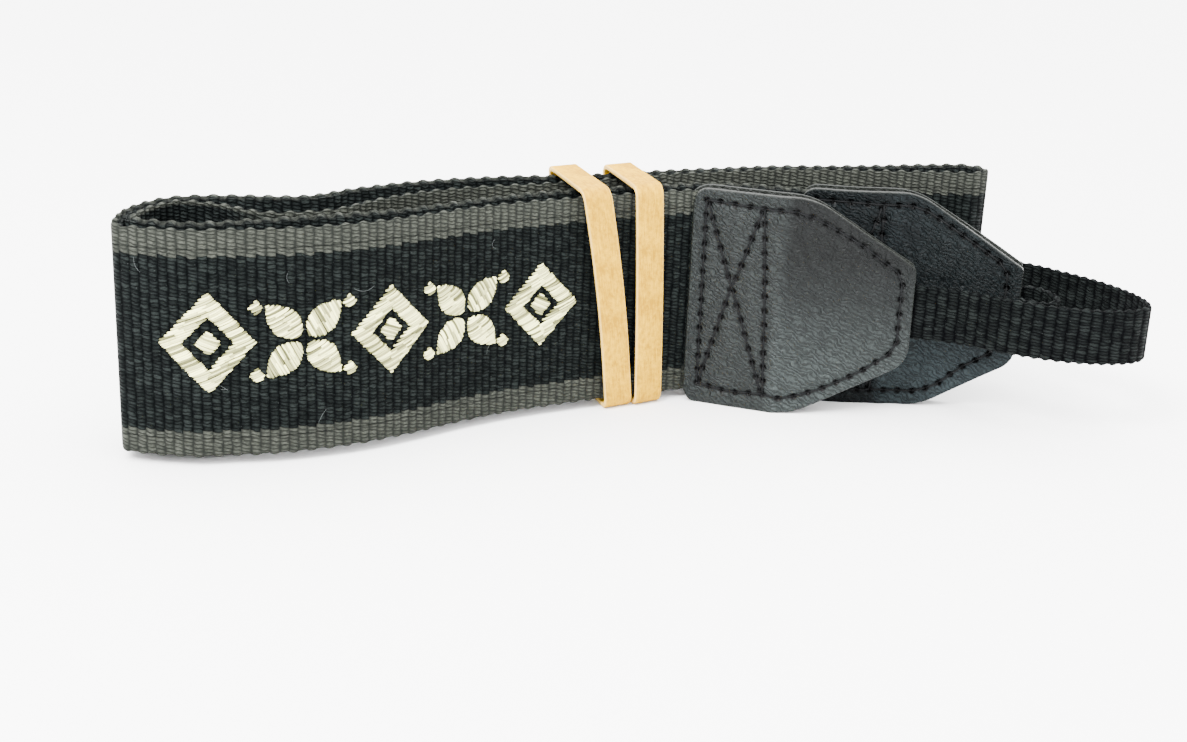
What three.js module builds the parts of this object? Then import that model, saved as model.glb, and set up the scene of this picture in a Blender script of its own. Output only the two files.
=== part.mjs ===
// Camera strap, folded into a flat bundle that stands on the edge of its webbing.
// One wide woven strap is folded twice, and each end is sewn into a leather tab
// from which a narrow lug strap comes out. Two rubber bands hold the bundle.
// Millimetres, +Z up, +X along the bundle, +Y towards its back.

import * as THREE from 'three';

// Wide webbing
const webbingWidth = 38;
const webbingThickness = 1.7;
const webbingStep = 1.9;

// Leather tabs, each made of two plies with the webbing between them
const tabLength = 40.3;
const tabHeight = 39.4;
const tabPly = 1.1;
const tabCornerRadius = 3;
const tabShoulderRadius = 12;
const tabColumnStep = 3;
const tabColumnGap = 0.12;
const tabColumnReach = 0.9;
const tabCornerSteps = 5;
const tabTipSteps = 4;
const webbingInTab = 15;
const tabTaper = 4;
const frontTabSetback = 4.3;
const rearTabSetback = 26.3;

// Narrow lug straps
const lugWidth = 10;
const lugThickness = 1.2;
const lugInTab = 9;
const lugDrop = 0.5;
const lugStep = 1.5;
const lugLoopReach = 32;

// Rubber bands
const bandWidth = 5.6;
const bandThickness = 0.9;
const bandCornerRadius = 1.8;
const bandSlack = 0.2;
const bandCornerSteps = 4;

// Bundle. backRunDepth says, as a share of bundleDepth, where the bands meet the
// back run.
const bundleLength = 140;
const bundleDepth = 22.3;
const backRunDepth = 0.7;
const clearance = 0.3;

const webbingBottom = bandThickness + clearance;
const tabMiddle = tabHeight / 2;
const lugBottom = tabMiddle - lugDrop - lugWidth / 2;

// Stations along the four runs, front to back. along is a share of bundleLength,
// and the others are shares of bundleDepth: front is where the first run's face
// lies, and each loose column is the open space between two runs.
const stations = [
  { along: 0.0, front: 0.17, loose12: 0.09, loose23: 0.641, loose34: 0.0 },
  { along: 0.036, front: 0.085, loose12: 0.146, loose23: 0.488, loose34: 0.141 },
  { along: 0.071, front: 0.031, loose12: 0.168, loose23: 0.15, loose34: 0.421 },
  { along: 0.143, front: -0.022, loose12: 0.172, loose23: 0.079, loose34: 0.345 },
  { along: 0.214, front: 0.0, loose12: 0.11, loose23: 0.28, loose34: 0.269 },
  { along: 0.286, front: 0.06, loose12: 0.085, loose23: 0.345, loose34: 0.211 },
  { along: 0.357, front: 0.083, loose12: 0.103, loose23: 0.296, loose34: 0.184 },
  { along: 0.429, front: 0.058, loose12: 0.13, loose23: 0.215, loose34: 0.17 },
  { along: 0.5, front: 0.022, loose12: 0.117, loose23: 0.215, loose34: 0.072 },
  { along: 0.571, front: -0.027, loose12: 0.072, loose23: 0.296, loose34: 0.016 },
];

// Stations of the two back runs beyond the tabs' start. drop is how far the back
// face comes forward from the last station above, as a share of bundleDepth.
const tailStations = [
  { along: 0.643, drop: 0.065, loose34: 0.0 },
  { along: 0.714, drop: 0.155, loose34: 0.0 },
  { along: 0.786, drop: 0.253, loose34: 0.0 },
  { along: 0.857, drop: 0.428, loose34: 0.031 },
  { along: 0.929, drop: 0.581, loose34: 0.103 },
  { along: 0.986, drop: 0.679, loose34: 0.175 },
];

// Folds, as shares of the distance between the two runs that the fold joins:
// out is how far past the last station, across is how far over to the other run.
const outerFold = [
  { out: 0.179, across: 0.058 },
  { out: 0.39, across: 0.195 },
  { out: 0.529, across: 0.312 },
  { out: 0.6, across: 0.4 },
  { out: 0.578, across: 0.49 },
  { out: 0.511, across: 0.626 },
  { out: 0.404, across: 0.778 },
  { out: 0.278, across: 0.886 },
  { out: 0.148, across: 0.962 },
];
const innerFold = [
  { out: 0.233, across: 0.09 },
  { out: 0.442, across: 0.243 },
  { out: 0.583, across: 0.384 },
  { out: 0.635, across: 0.482 },
  { out: 0.595, across: 0.586 },
  { out: 0.453, across: 0.752 },
  { out: 0.319, across: 0.869 },
  { out: 0.177, across: 0.954 },
];
const rightFold = [
  { out: 0.68, across: 0.246 },
  { out: 1.27, across: 0.466 },
  { out: 1.58, across: 0.84 },
  { out: 1.46, across: 1.35 },
  { out: 0.93, across: 1.5 },
  { out: 0.46, across: 1.25 },
];

// The tabs' middle lines, from the last station of the run that each one ends,
// as shares of tabLength.
const frontTabLine = [
  { along: 0.122, across: -0.033 },
  { along: 0.273, across: -0.205 },
  { along: 0.404, across: -0.354 },
  { along: 0.655, across: -0.517 },
  { along: 0.888, across: -0.656 },
];
const rearTabLine = [
  { along: 0.174, across: -0.022 },
  { along: 0.372, across: -0.124 },
  { along: 0.561, across: -0.288 },
  { along: 0.739, across: -0.442 },
  { along: 0.888, across: -0.531 },
  { along: 1.057, across: -0.653 },
  { along: 1.201, across: -0.792 },
  { along: 1.31, across: -0.916 },
];

// Upper and lower edges of the tabs' outlines: shoulder is a share of tabLength,
// tip the height of the tip's corner from the middle as a share of tabHeight.
const tabOutlines = {
  front: {
    high: { shoulder: 0.533, tip: 0.198, tipRadius: 1.2 },
    low: { shoulder: 0.496, tip: 0.241, tipRadius: 5 },
  },
  rear: {
    high: { shoulder: 0.509, tip: 0.2, tipRadius: 1.2 },
    low: { shoulder: 0.608, tip: 0.246, tipRadius: 4 },
  },
};

// The front lug strap's loop, from the front tab's tip, as shares of lugLoopReach.
const frontLugLoop = [
  { along: 0.15, across: -0.159 },
  { along: 0.225, across: -0.3 },
  { along: 0.3, across: -0.441 },
  { along: 0.3875, across: -0.575 },
  { along: 0.491, across: -0.691 },
  { along: 0.622, across: -0.7875 },
  { along: 0.775, across: -0.844 },
  { along: 0.881, across: -0.834 },
  { along: 0.953, across: -0.772 },
  { along: 1.0125, across: -0.634 },
  { along: 1.0375, across: -0.4625 },
  { along: 1.031, across: -0.291 },
  { along: 0.994, across: -0.097 },
  { along: 0.947, across: 0.084 },
  { along: 0.85, across: 0.241 },
];

// Where the loop goes back between the rear tab and the third run: along is a
// share of bundleLength, between a share of the way from the tab to the run.
const frontLugTuck = [
  { along: 0.979, between: 0.66 },
  { along: 0.929, between: 0.68 },
  { along: 0.871, between: 0.62 },
  { along: 0.814, between: 0.6 },
  { along: 0.757, between: 0.6 },
];

// The rear lug strap's bend, from the rear tab's tip, as shares of lugLoopReach.
// It then lies along the inside of the front lug strap, beside the points of
// frontLugLoop that rearLugBeside names.
const rearLugBend = [
  { along: 0.069, across: -0.075 },
  { along: 0.075, across: -0.1625 },
  { along: 0.044, across: -0.253 },
  { along: -0.025, across: -0.322 },
];
const rearLugBeside = [3, 2];
const rearLugStandOff = 0.25;

// The bands' places: along as a share of bundleLength where the band crosses the
// front run's lower edge, lean as the shift of its upper edge and skew as the
// shift of its back, both per millimetre of height or depth.
const bands = [
  { name: 'rubber_band_left', along: 0.505, lean: -0.16, skew: 0.254 },
  { name: 'rubber_band_right', along: 0.548, lean: -0.048, skew: 0.27 },
];

const colours = {
  webbing: { color: 0x1b1d20, roughness: 0.9, metalness: 0 },
  leather: { color: 0x45494b, roughness: 0.55, metalness: 0 },
  lug: { color: 0x15171a, roughness: 0.85, metalness: 0 },
  rubber: { color: 0xe3bc7e, roughness: 0.6, metalness: 0 },
};

function point(x, y) {
  return new THREE.Vector3(x, y, 0);
}

// Middle of each run at a station, front to back.
function runMiddles(station) {
  const x = station.along * bundleLength;
  const pitch = webbingThickness + clearance;
  const first = station.front * bundleDepth + webbingThickness / 2;
  const second = first + pitch + station.loose12 * bundleDepth;
  const third = second + pitch + station.loose23 * bundleDepth;
  const fourth = third + pitch + station.loose34 * bundleDepth;
  return [first, second, third, fourth].map((y) => point(x, y));
}

function tailMiddles(station, lastFourth) {
  const x = station.along * bundleLength;
  const fourth = lastFourth.y - station.drop * bundleDepth;
  const pitch = webbingThickness + clearance;
  const third = fourth - pitch - station.loose34 * bundleDepth;
  return { third: point(x, third), fourth: point(x, fourth) };
}

// Points of a fold that leaves one run at `from` and comes back at `to`.
function foldPoints(rows, from, to, side) {
  const span = to.y - from.y;
  const reach = Math.abs(span) * side;
  return rows.map((row) => point(from.x + row.out * reach, from.y + row.across * span));
}

function rowsFrom(rows, start, size) {
  return rows.map((row) => point(start.x + row.along * size, start.y + row.across * size));
}

function acrossAt(points, x) {
  for (let i = 1; i < points.length; i += 1) {
    const a = points[i - 1];
    const b = points[i];
    if ((x - a.x) * (x - b.x) <= 0) {
      return a.y + ((b.y - a.y) * (x - a.x)) / (b.x - a.x);
    }
  }
  const nearest = points.reduce((m, p) => (Math.abs(p.x - x) < Math.abs(m.x - x) ? p : m));
  return nearest.y;
}

function besidePoint(points, index, distance) {
  const tangent = points[index + 1].clone().sub(points[index - 1]).normalize();
  return point(
    points[index].x - tangent.y * distance,
    points[index].y + tangent.x * distance,
  );
}

// The one line that the whole strap follows, from the front lug strap's tucked
// end, through the front tab, the four runs and the rear tab, to the rear lug
// strap's end. marks are the numbers of the points that the tabs are placed by.
function strapLine() {
  const runs = stations.map(runMiddles);
  const run = (number) => runs.map((middles) => middles[number]);
  const [first, second, third, fourth] = [0, 1, 2, 3].map(run);
  const last = runs.length - 1;
  const tails = tailStations.map((station) => tailMiddles(station, fourth[last]));
  const thirdTail = tails.map((tail) => tail.third);
  const fourthTail = tails.map((tail) => tail.fourth);
  const tailEnd = tails[tails.length - 1];

  const frontTab = rowsFrom(frontTabLine, first[last], tabLength);
  const rearTab = rowsFrom(rearTabLine, second[last], tabLength);
  const frontTip = frontTab[frontTab.length - 1];
  const rearTip = rearTab[rearTab.length - 1];
  const loop = rowsFrom(frontLugLoop, frontTip, lugLoopReach);
  const tabBack = rearTab.map((p) => point(p.x, p.y + webbingThickness / 2 + clearance + tabPly));
  const thirdFront = thirdTail.map((p) => point(p.x, p.y - webbingThickness / 2));
  const tuck = frontLugTuck.map((row) => {
    const x = row.along * bundleLength;
    const near = acrossAt(tabBack, x);
    const far = acrossAt(thirdFront, x);
    return point(x, near + (far - near) * row.between);
  });
  const bend = rowsFrom(rearLugBend, rearTip, lugLoopReach);
  const apart = lugThickness + clearance + rearLugStandOff;
  const beside = rearLugBeside.map((index) => besidePoint(loop, index, apart));

  const lead = [...tuck.toReversed(), ...loop.toReversed(), ...frontTab.toReversed()];
  const points = [
    ...lead,
    ...first.toReversed(),
    ...foldPoints(outerFold, first[0], fourth[0], -1),
    ...fourth,
    ...fourthTail,
    ...foldPoints(rightFold, tailEnd.fourth, tailEnd.third, 1),
    ...thirdTail.toReversed(),
    ...third.toReversed(),
    ...foldPoints(innerFold, second[0], third[0], -1).toReversed(),
    ...second,
    ...rearTab,
    ...bend,
    ...beside,
  ];
  const curve = new THREE.CatmullRomCurve3(points, false, 'centripetal');
  const stepsPerPoint = 40;
  curve.arcLengthDivisions = (points.length - 1) * stepsPerPoint;
  const lengths = curve.getLengths();
  const lengthAt = (index) => lengths[index * stepsPerPoint];
  const secondEnd = points.length - beside.length - bend.length - rearTab.length - 1;
  return {
    curve,
    length: lengths[lengths.length - 1],
    frontTabStart: lengthAt(lead.length) - frontTabSetback,
    rearTabStart: lengthAt(secondEnd) + rearTabSetback,
    firstRun: first,
    fourthRun: [...fourth, ...fourthTail],
  };
}

// The line's point and its sideways direction at a length along it.
function frameAt(line, length) {
  const share = THREE.MathUtils.clamp(length / line.length, 0, 1);
  const place = line.curve.getPointAt(share);
  const tangent = line.curve.getTangentAt(share);
  return { place, side: point(-tangent.y, tangent.x) };
}

function lengthsBetween(start, end, step) {
  const count = Math.max(2, Math.ceil((end - start) / step));
  return Array.from({ length: count + 1 }, (_, i) => start + ((end - start) * i) / count);
}

// A strip of webbing standing on its edge along a stretch of the line.
function webbingSolid(line, start, end, size) {
  const left = [];
  const right = [];
  for (const length of lengthsBetween(start, end, size.step)) {
    const { place, side } = frameAt(line, length);
    const half = size.thickness / 2;
    left.push(new THREE.Vector2(place.x + side.x * half, place.y + side.y * half));
    right.push(new THREE.Vector2(place.x - side.x * half, place.y - side.y * half));
  }
  const outline = new THREE.Shape([...left, ...right.reverse()]);
  const solid = new THREE.ExtrudeGeometry(outline, { depth: size.width, bevelEnabled: false });
  solid.translate(0, 0, size.bottom);
  return solid;
}

// Points of a rounded corner between two straight edges.
function roundedCorner(before, corner, after, radius, steps) {
  const inward = before.clone().sub(corner).normalize();
  const outward = after.clone().sub(corner).normalize();
  const halfAngle = Math.acos(THREE.MathUtils.clamp(inward.dot(outward), -1, 1)) / 2;
  const tangentLength = radius / Math.tan(halfAngle);
  const start = corner.clone().addScaledVector(inward, tangentLength);
  const end = corner.clone().addScaledVector(outward, tangentLength);
  const toCentre = inward.clone().add(outward).normalize();
  const centre = corner.clone().addScaledVector(toCentre, radius / Math.sin(halfAngle));
  const from = start.clone().sub(centre).angle();
  const sweep = end.clone().sub(centre).angle() - from;
  const turn = Math.atan2(Math.sin(sweep), Math.cos(sweep));
  return Array.from({ length: steps + 1 }, (_, i) => {
    const angle = from + (turn * i) / steps;
    return new THREE.Vector2(centre.x + radius * Math.cos(angle), centre.y + radius * Math.sin(angle));
  });
}

// Upper or lower half of a tab's outline: x is the length along the tab, y the
// height from its middle.
function tabEdge(edge) {
  const half = tabHeight / 2;
  const middle = new THREE.Vector2(0, 0);
  const corner = new THREE.Vector2(0, half);
  const shoulder = new THREE.Vector2(edge.shoulder * tabLength, half);
  const tip = new THREE.Vector2(tabLength, edge.tip * tabHeight);
  const tipMiddle = new THREE.Vector2(tabLength, 0);
  return [
    ...roundedCorner(middle, corner, shoulder, tabCornerRadius, tabCornerSteps),
    ...roundedCorner(corner, shoulder, tip, tabShoulderRadius, tabCornerSteps),
    ...roundedCorner(shoulder, tip, tipMiddle, edge.tipRadius, tabTipSteps),
  ];
}

function heightAt(edge, x) {
  const next = edge.findIndex((p) => p.x >= x);
  if (next === 0) {
    return edge[0].y;
  }
  if (next < 0 || x >= tabLength) {
    return edge[edge.length - 1].y;
  }
  const share = (x - edge[next - 1].x) / (edge[next].x - edge[next - 1].x);
  return THREE.MathUtils.lerp(edge[next - 1].y, edge[next].y, share);
}

// Columns across a tab, each with its height above and below the middle.
function tabColumns(outline) {
  const high = tabEdge(outline.high);
  const low = tabEdge(outline.low);
  const even = lengthsBetween(tabCornerRadius, tabLength * tabColumnReach, tabColumnStep);
  const places = [...high, ...low].map((p) => p.x).concat(even).sort((a, b) => a - b);
  const apart = places.filter((x, i) => i === 0 || x - places[i - 1] > tabColumnGap);
  const kept = [...apart.filter((x) => x < tabLength - tabColumnGap), tabLength];
  return kept.map((x) => ({ x, up: heightAt(high, x), down: heightAt(low, x) }));
}

// Half the space between a tab's plies, which narrows past the webbing's end.
function halfSpace(along) {
  const share = THREE.MathUtils.clamp((along - webbingInTab) / tabTaper, 0, 1);
  const inside = THREE.MathUtils.lerp(webbingThickness, lugThickness, share);
  return inside / 2 + clearance;
}

// One ply of a tab, bent along the line. `direction` is which way the tab points
// along the line, `outer` says which side of the line the ply lies on.
function tabPlySolid(line, start, direction, outer, outline) {
  const positions = [];
  const columns = tabColumns(outline);
  for (const column of columns) {
    const { place, side } = frameAt(line, start + direction * column.x);
    const near = halfSpace(column.x) * outer;
    const far = near + tabPly * outer;
    for (const offset of [near, far]) {
      for (const height of [-column.down, column.up]) {
        positions.push(place.x + side.x * offset, place.y + side.y * offset, tabMiddle + height);
      }
    }
  }
  const indices = [];
  const quad = (a, b, c, d) => indices.push(a, b, c, a, c, d);
  const [nearLow, nearHigh, farLow, farHigh] = [0, 1, 2, 3];
  for (let i = 0; i + 1 < columns.length; i += 1) {
    const here = i * 4;
    const next = here + 4;
    quad(here + nearLow, here + nearHigh, next + nearHigh, next + nearLow);
    quad(here + farLow, next + farLow, next + farHigh, here + farHigh);
    quad(here + nearLow, next + nearLow, next + farLow, here + farLow);
    quad(here + nearHigh, here + farHigh, next + farHigh, next + nearHigh);
  }
  const lastColumn = (columns.length - 1) * 4;
  quad(nearLow, farLow, farHigh, nearHigh);
  quad(lastColumn + nearLow, lastColumn + nearHigh, lastColumn + farHigh, lastColumn + farLow);
  if (direction * outer > 0) {
    indices.reverse();
  }
  const solid = new THREE.BufferGeometry();
  solid.setAttribute('position', new THREE.Float32BufferAttribute(positions, 3));
  solid.setIndex(indices);
  solid.computeVertexNormals();
  return solid;
}

function roundedRectangle(path, low, high, radius) {
  const corners = [
    { x: high.x - radius, y: low.y + radius, turn: -Math.PI / 2 },
    { x: high.x - radius, y: high.y - radius, turn: 0 },
    { x: low.x + radius, y: high.y - radius, turn: Math.PI / 2 },
    { x: low.x + radius, y: low.y + radius, turn: Math.PI },
  ];
  for (const corner of corners) {
    path.absarc(corner.x, corner.y, radius, corner.turn, corner.turn + Math.PI / 2, false);
  }
  path.closePath();
  return path;
}

// A rubber band round all four runs, leaning as the real one does.
function bandSolid(line, band) {
  const start = band.along * bundleLength;
  const top = webbingBottom + webbingWidth + clearance + bandThickness;
  const backShift = band.skew * bundleDepth * backRunDepth;
  const places = [-0.5, 0, 0.5].map((share) => start + share * bandWidth);
  const shifts = [0, band.lean * top];
  const xs = places.flatMap((x) => shifts.map((shift) => x + shift));
  const room = webbingThickness / 2 + clearance + bandSlack;
  const front = Math.min(...xs.map((x) => acrossAt(line.firstRun, x))) - room;
  const back = Math.max(...xs.map((x) => acrossAt(line.fourthRun, x + backShift))) + room;
  const outerLow = new THREE.Vector2(front - bandThickness, 0);
  const outerHigh = new THREE.Vector2(back + bandThickness, top);
  const innerLow = new THREE.Vector2(front, bandThickness);
  const innerHigh = new THREE.Vector2(back, top - bandThickness);
  const ring = roundedRectangle(new THREE.Shape(), outerLow, outerHigh, bandCornerRadius);
  const holeRadius = bandCornerRadius - bandThickness;
  ring.holes.push(roundedRectangle(new THREE.Path(), innerLow, innerHigh, holeRadius));
  const solid = new THREE.ExtrudeGeometry(ring, {
    depth: bandWidth,
    bevelEnabled: false,
    curveSegments: bandCornerSteps,
  });
  solid.translate(0, 0, start - bandWidth / 2);
  const upright = new THREE.Matrix4().set(
    band.skew, band.lean, 1, 0,
    1, 0, 0, 0,
    0, 1, 0, 0,
    0, 0, 0, 1,
  );
  solid.applyMatrix4(upright);
  return solid;
}

function namedMesh(name, geometry, look) {
  const mesh = new THREE.Mesh(geometry, new THREE.MeshStandardMaterial(look));
  mesh.name = name;
  return mesh;
}

function buildStrap() {
  const line = strapLine();
  const wide = {
    thickness: webbingThickness,
    width: webbingWidth,
    bottom: webbingBottom,
    step: webbingStep,
  };
  const narrow = { thickness: lugThickness, width: lugWidth, bottom: lugBottom, step: lugStep };
  const frontTip = line.frontTabStart - tabLength;
  const rearTip = line.rearTabStart + tabLength;
  const webbingStart = line.frontTabStart - webbingInTab;
  const webbingEnd = line.rearTabStart + webbingInTab;
  const frontPly = (outer) => tabPlySolid(line, line.frontTabStart, -1, outer, tabOutlines.front);
  const rearPly = (outer) => tabPlySolid(line, line.rearTabStart, 1, outer, tabOutlines.rear);

  const strap = new THREE.Group();
  strap.add(
    namedMesh('strap_webbing', webbingSolid(line, webbingStart, webbingEnd, wide), colours.webbing),
    namedMesh('front_tab_face', frontPly(1), colours.leather),
    namedMesh('front_tab_back', frontPly(-1), colours.leather),
    namedMesh('rear_tab_face', rearPly(-1), colours.leather),
    namedMesh('rear_tab_back', rearPly(1), colours.leather),
    namedMesh('front_lug_strap', webbingSolid(line, 0, frontTip + lugInTab, narrow), colours.lug),
    namedMesh('rear_lug_strap', webbingSolid(line, rearTip - lugInTab, line.length, narrow), colours.lug),
  );
  for (const band of bands) {
    strap.add(namedMesh(band.name, bandSolid(line, band), colours.rubber));
  }
  const box = new THREE.Box3().setFromObject(strap);
  const middle = box.getCenter(new THREE.Vector3());
  strap.position.set(-middle.x, -middle.y, -box.min.z);
  return strap;
}

export default buildStrap();
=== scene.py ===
# Folded camera strap with two rubber bands on a pale floor.
# Lengths are millimetres until they become vertices, +Z up.

import math

import bpy
import numpy as np
from mathutils import Matrix, Vector


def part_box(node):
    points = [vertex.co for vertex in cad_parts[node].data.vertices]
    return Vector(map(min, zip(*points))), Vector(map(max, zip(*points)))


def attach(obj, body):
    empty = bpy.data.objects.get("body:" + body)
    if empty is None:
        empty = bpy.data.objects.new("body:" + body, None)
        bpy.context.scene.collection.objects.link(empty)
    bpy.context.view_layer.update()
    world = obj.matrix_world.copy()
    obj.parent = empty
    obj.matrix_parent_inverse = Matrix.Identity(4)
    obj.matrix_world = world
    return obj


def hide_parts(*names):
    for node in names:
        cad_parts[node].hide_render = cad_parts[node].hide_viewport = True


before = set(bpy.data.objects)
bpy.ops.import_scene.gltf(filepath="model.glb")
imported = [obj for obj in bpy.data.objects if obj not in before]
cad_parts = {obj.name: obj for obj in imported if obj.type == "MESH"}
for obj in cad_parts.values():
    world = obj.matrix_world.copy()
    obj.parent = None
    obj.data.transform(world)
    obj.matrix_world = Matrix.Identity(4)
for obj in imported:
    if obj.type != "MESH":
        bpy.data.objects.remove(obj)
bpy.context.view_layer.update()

MM = 0.001
RNG = np.random.default_rng(38)

# Sizes, the same as the CAD part's
WEB_WIDTH = 38.0
WEB_THICKNESS = 1.7
WEB_STEP = 1.9
LINE_STEPS = 40
TAB_LENGTH = 40.3
TAB_HEIGHT = 39.4
TAB_PLY = 1.1
TAB_CORNER = 3.0
TAB_SHOULDER = 12.0
WEB_IN_TAB = 15.0
TAB_TAPER = 4.0
FRONT_TAB_SETBACK = 4.3
REAR_TAB_SETBACK = 26.3
LUG_WIDTH = 10.0
LUG_THICKNESS = 1.2
LUG_IN_TAB = 9.0
LUG_DROP = 0.5
LUG_LOOP_REACH = 32.0
BAND_WIDTH = 5.6
BAND_THICKNESS = 0.9
BAND_CORNER = 1.8
BAND_SLACK = 0.2
BUNDLE_LENGTH = 140.0
BUNDLE_DEPTH = 22.3
CLEARANCE = 0.3
WEB_BOTTOM = BAND_THICKNESS + CLEARANCE
WEB_MIDDLE = WEB_BOTTOM + WEB_WIDTH / 2
TAB_MIDDLE = TAB_HEIGHT / 2
LUG_MIDDLE = TAB_MIDDLE - LUG_DROP

# The folded line. Stations along the bundle, as shares of its length, and where the
# front run and the spaces behind it are, as shares of its depth:
# along, front, loose12, loose23, loose34
STATIONS = [
    (0.0, 0.17, 0.09, 0.641, 0.0),
    (0.036, 0.085, 0.146, 0.488, 0.141),
    (0.071, 0.031, 0.168, 0.15, 0.421),
    (0.143, -0.022, 0.172, 0.079, 0.345),
    (0.214, 0.0, 0.11, 0.28, 0.269),
    (0.286, 0.06, 0.085, 0.345, 0.211),
    (0.357, 0.083, 0.103, 0.296, 0.184),
    (0.429, 0.058, 0.13, 0.215, 0.17),
    (0.5, 0.022, 0.117, 0.215, 0.072),
    (0.571, -0.027, 0.072, 0.296, 0.016),
]
# along, drop, loose34
TAIL_STATIONS = [
    (0.643, 0.065, 0.0),
    (0.714, 0.155, 0.0),
    (0.786, 0.253, 0.0),
    (0.857, 0.428, 0.031),
    (0.929, 0.581, 0.103),
    (0.986, 0.679, 0.175),
]
# Folds, as shares of the distance between the two runs that they join: out, across
OUTER_FOLD = [
    (0.179, 0.058), (0.39, 0.195), (0.529, 0.312), (0.6, 0.4), (0.578, 0.49),
    (0.511, 0.626), (0.404, 0.778), (0.278, 0.886), (0.148, 0.962),
]
INNER_FOLD = [
    (0.233, 0.09), (0.442, 0.243), (0.583, 0.384), (0.635, 0.482),
    (0.595, 0.586), (0.453, 0.752), (0.319, 0.869), (0.177, 0.954),
]
RIGHT_FOLD = [
    (0.68, 0.246), (1.27, 0.466), (1.58, 0.84), (1.46, 1.35), (0.93, 1.5), (0.46, 1.25),
]
# From where the last one ended: along and across, as shares of TAB_LENGTH for the tabs
# and of LUG_LOOP_REACH for the lug straps
FRONT_TAB_LINE = [
    (0.122, -0.033), (0.273, -0.205), (0.404, -0.354), (0.655, -0.517), (0.888, -0.656),
]
REAR_TAB_LINE = [
    (0.174, -0.022), (0.372, -0.124), (0.561, -0.288), (0.739, -0.442),
    (0.888, -0.531), (1.057, -0.653), (1.201, -0.792), (1.31, -0.916),
]
FRONT_LUG_LOOP = [
    (0.15, -0.159), (0.225, -0.3), (0.3, -0.441), (0.3875, -0.575), (0.491, -0.691),
    (0.622, -0.7875), (0.775, -0.844), (0.881, -0.834), (0.953, -0.772), (1.0125, -0.634),
    (1.0375, -0.4625), (1.031, -0.291), (0.994, -0.097), (0.947, 0.084), (0.85, 0.241),
]
# along the bundle, and between the rear tab's back and the third run
FRONT_LUG_TUCK = [
    (0.979, 0.66), (0.929, 0.68), (0.871, 0.62), (0.814, 0.6), (0.757, 0.6),
]
REAR_LUG_BEND = [(0.069, -0.075), (0.075, -0.1625), (0.044, -0.253), (-0.025, -0.322)]
# Points of the front lug's loop that the rear lug strap's end lies beside
REAR_LUG_BESIDE = [3, 2]
REAR_LUG_STAND_OFF = 0.25

# Tab outlines above and below the middle: shoulder and tip as shares, tip radius
TAB_OUTLINES = {
    "front": {"high": (0.533, 0.198, 1.2), "low": (0.496, 0.241, 5.0)},
    "rear": {"high": (0.509, 0.2, 1.2), "low": (0.608, 0.246, 4.0)},
}
# name, place along the bundle as a share, lean, skew, bow in millimetres
BANDS = [
    ("rubber_band_left", 0.505, -0.16, 0.254, 0.7),
    ("rubber_band_right", 0.548, -0.048, 0.27, 0.2),
]

# The woven strips: their sizes, the pitch of ribs and yarns, and the relief of
# faces and rims
WIDE = {
    "width": WEB_WIDTH, "thickness": WEB_THICKNESS, "rib": 1.477, "yarn": 0.62,
    "face_rows": 8, "edge": 0.9, "relief": 0.2,
    "scallop": 2.953, "scallop_depth": 0.36, "hollow": 0.35, "slope": 0.8,
}
NARROW = {
    "width": LUG_WIDTH, "thickness": LUG_THICKNESS, "rib": 1.9, "yarn": 0.57,
    "face_rows": 6, "edge": 0.6, "relief": 0.18,
    "scallop": 1.9, "scallop_depth": 0.22, "hollow": 0.15, "slope": 0.0,
}
RIB_STEPS = 6
EDGE_ROWS = 6
# Grey stripe along each rim, and the dark line in it, this far from its inner side
STRIPE = 4.6
STRIPE_LINE = 1.03
# Painted shade inside the left fold, where the grey stripe is left out: the points of the run
# before it, and the fade
POCKET_POINTS = 4
POCKET_FADE = 16.0

# Leather: ripple and slant of its grain, its edges, and its dents as (depth, spread)
GRAIN_PITCH = 0.68
GRAIN_LEAN = math.radians(28)
EDGE_RADIUS = 0.3
EDGE_RINGS = (0.0, 0.05, 0.14, EDGE_RADIUS)
RAW_EDGE = 0.2
FACE_STEP = 0.28
BACK_STEP = 0.45
SEAM_GROOVE = (0.16, 0.5)
SEAM_HOLLOW = (0.14, 1.5)
HOLE_DENT = (0.5, 0.48)
# The ridge and the sag, at distances past the webbing's end in the tab
RIDGE = (0.22, 1.2)
RIDGE_AT = 1.9
RIDGE_LIT_AT = 2.0
RIDGE_FADE = 3.5
SAG = (0.5, 6.5)
SAG_AT = 9.5
# Distance to a seam where there is none
FAR = 100.0

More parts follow.
